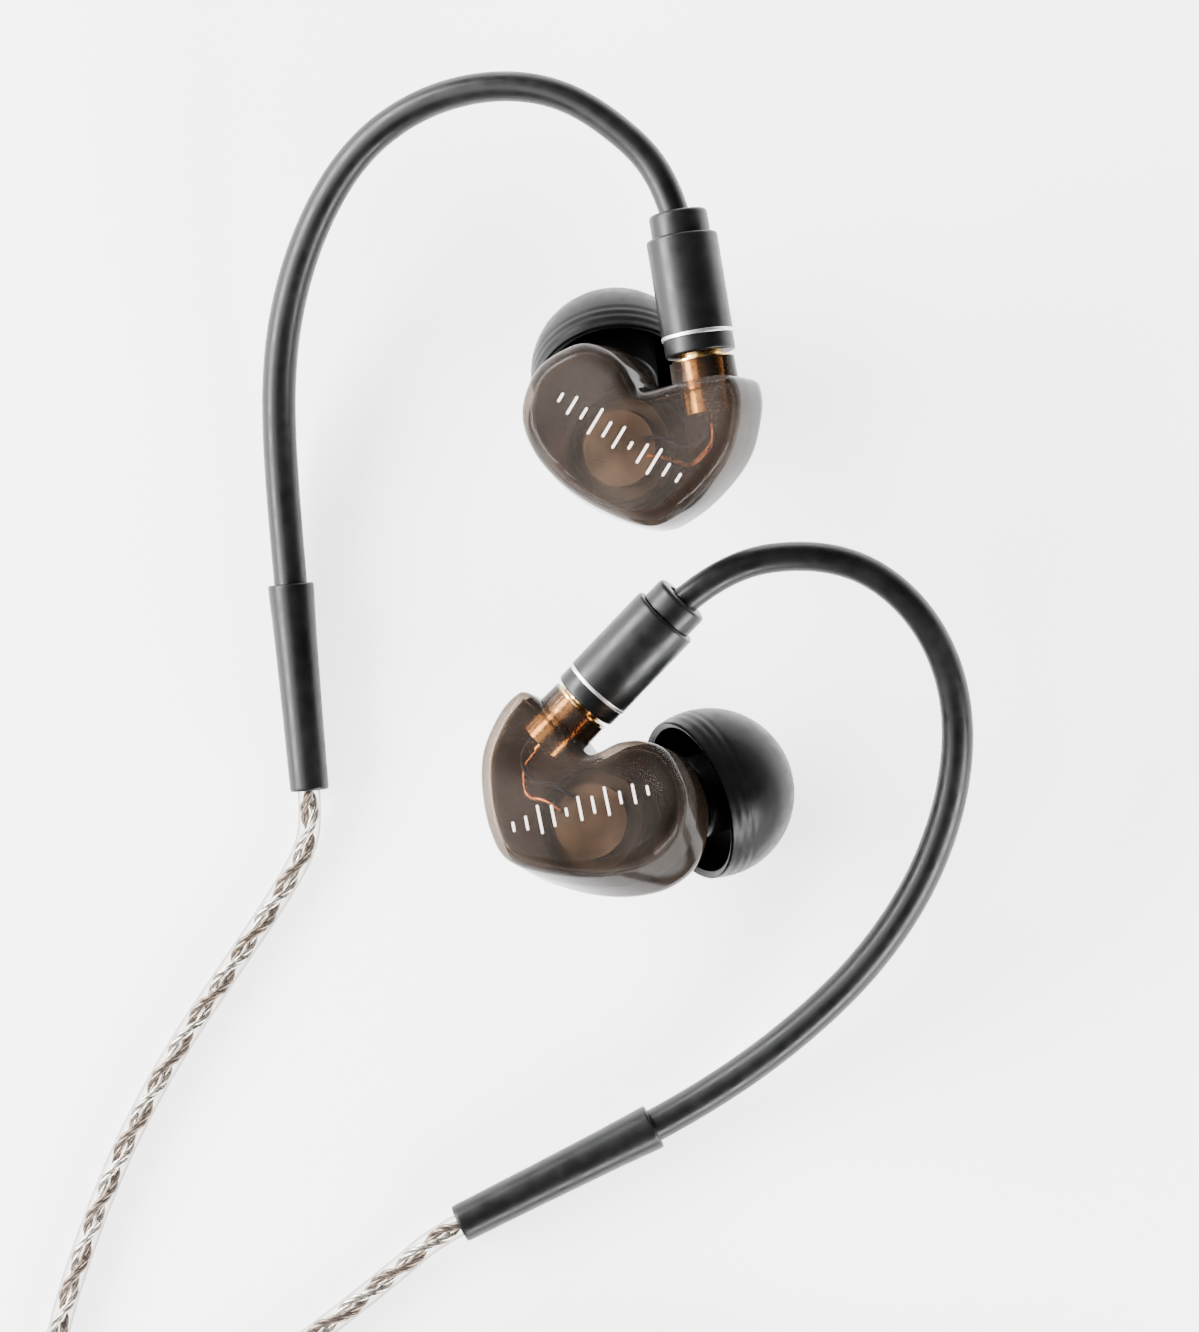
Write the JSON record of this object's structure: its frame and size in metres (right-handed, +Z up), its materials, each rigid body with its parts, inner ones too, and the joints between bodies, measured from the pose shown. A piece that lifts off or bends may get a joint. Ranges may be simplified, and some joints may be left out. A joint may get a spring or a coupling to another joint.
{
  "type": "in ear monitors",
  "caption": "Pair of translucent in ear monitors with swivelling plugs, ear hooks, silicone tips and a coiled detachable cable.",
  "frame": {"origin": "centre of the earpieces and ear hooks in plan, on the surface that they lie on", "axes": "+Z up, +Y along the length of the pair towards the top of the right ear hook, +X to the right"},
  "size_m": [0.1077, 0.1481, 0.0222],
  "materials": {
    "smoked_shell": "gloss, translucent",
    "black_plastic": "satin",
    "silicone": "matte",
    "hook_tube": "satin",
    "cable_jacket": "clear gloss",
    "gold": "plated",
    "bright_metal": "polished",
    "magnet_metal": "plated",
    "driver_plastic": "satin",
    "film": "gloss",
    "copper": "enamelled",
    "white_plastic": "matte"
  },
  "bodies": {
    "cable_set": {"left_plug_shield": "gold", "left_plug_pin": "gold", "left_plug_collar": "black_plastic", "left_plug_band": "bright_metal", "left_plug_barrel": "black_plastic", "left_plug_cap": "black_plastic", "left_ear_hook": "hook_tube", "left_hook_sleeve": "hook_tube", "right_plug_shield": "gold", "right_plug_pin": "gold", "right_plug_collar": "black_plastic", "right_plug_band": "bright_metal", "right_plug_barrel": "black_plastic", "right_plug_cap": "black_plastic", "right_ear_hook": "hook_tube", "right_hook_sleeve": "hook_tube", "left_branch": "cable_jacket", "right_branch": "cable_jacket", "branch_coil": "cable_jacket", "y_splitter": "black_plastic", "main_cord": "cable_jacket", "main_coil": "cable_jacket", "jack_relief": "hook_tube", "jack_body": "black_plastic", "jack_contacts": "gold", "jack_insulator": "black_plastic"},
    "chin_slider_body": {"chin_slider": "black_plastic"},
    "right_swivel": {"right_snap_ring": "gold"},
    "right_earpiece": {"right_outer_cover": "smoked_shell", "right_inner_shell": "smoked_shell", "right_nozzle_tube": "bright_metal", "right_nozzle_mesh": "bright_metal", "right_driver_frame": "driver_plastic", "right_driver_yoke": "magnet_metal", "right_driver_magnet": "magnet_metal", "right_driver_pole": "magnet_metal", "right_hookup_wires": "copper", "right_socket_shell": "gold", "right_socket_insulator": "white_plastic", "right_socket_contact": "gold"},
    "right_tip": {"right_ear_tip": "silicone"},
    "right_cone": {"right_diaphragm": "film", "right_voice_coil": "copper"},
    "left_swivel": {"left_snap_ring": "gold"},
    "left_earpiece": {"left_outer_cover": "smoked_shell", "left_inner_shell": "smoked_shell", "left_nozzle_tube": "bright_metal", "left_nozzle_mesh": "bright_metal", "left_driver_frame": "driver_plastic", "left_driver_yoke": "magnet_metal", "left_driver_magnet": "magnet_metal", "left_driver_pole": "magnet_metal", "left_hookup_wires": "copper", "left_socket_shell": "gold", "left_socket_insulator": "white_plastic", "left_socket_contact": "gold"},
    "left_tip": {"left_ear_tip": "silicone"},
    "left_cone": {"left_diaphragm": "film", "left_voice_coil": "copper"}
  },
  "joints": [
    {"name": "right_swivel_joint", "type": "hinge", "parent": "cable_set", "child": "right_swivel", "pos_m": [0.00665, 0.02141, 0.01787], "axis": [-0.161, 0.9832, -0.0854], "continuous": true},
    {"name": "right_unplug", "type": "slide", "parent": "right_swivel", "child": "right_earpiece", "axis": [0.161, -0.9832, 0.0854], "range_m": [0, 0.003]},
    {"name": "right_tip_pull", "type": "slide", "parent": "right_earpiece", "child": "right_tip", "axis": [-0.0618, 0.6668, -0.7427], "range_m": [0, 0.0065]},
    {"name": "right_cone_travel", "type": "slide", "parent": "right_earpiece", "child": "right_cone", "axis": [-0.3585, 0.0224, 0.9332], "range_m": [-0.00015, 0.00015], "stiffness_N_per_m": 120},
    {"name": "left_swivel_joint", "type": "hinge", "parent": "cable_set", "child": "left_swivel", "pos_m": [-0.00395, -0.00507, 0.01019], "axis": [0.6842, 0.7159, 0.1392], "continuous": true},
    {"name": "left_unplug", "type": "slide", "parent": "left_swivel", "child": "left_earpiece", "axis": [-0.6842, -0.7159, -0.1392], "range_m": [0, 0.003]},
    {"name": "left_tip_pull", "type": "slide", "parent": "left_earpiece", "child": "left_tip", "axis": [0.8496, 0.2917, -0.4393], "range_m": [0, 0.0065]},
    {"name": "left_cone_travel", "type": "slide", "parent": "left_earpiece", "child": "left_cone", "axis": [-0.3433, 0.1477, 0.9276], "range_m": [-0.00015, 0.00015], "stiffness_N_per_m": 120},
    {"name": "chin_slide", "type": "slide", "parent": "cable_set", "child": "chin_slider_body", "axis": [1, 0, 0], "range_m": [0, 0.012]}
  ]
}
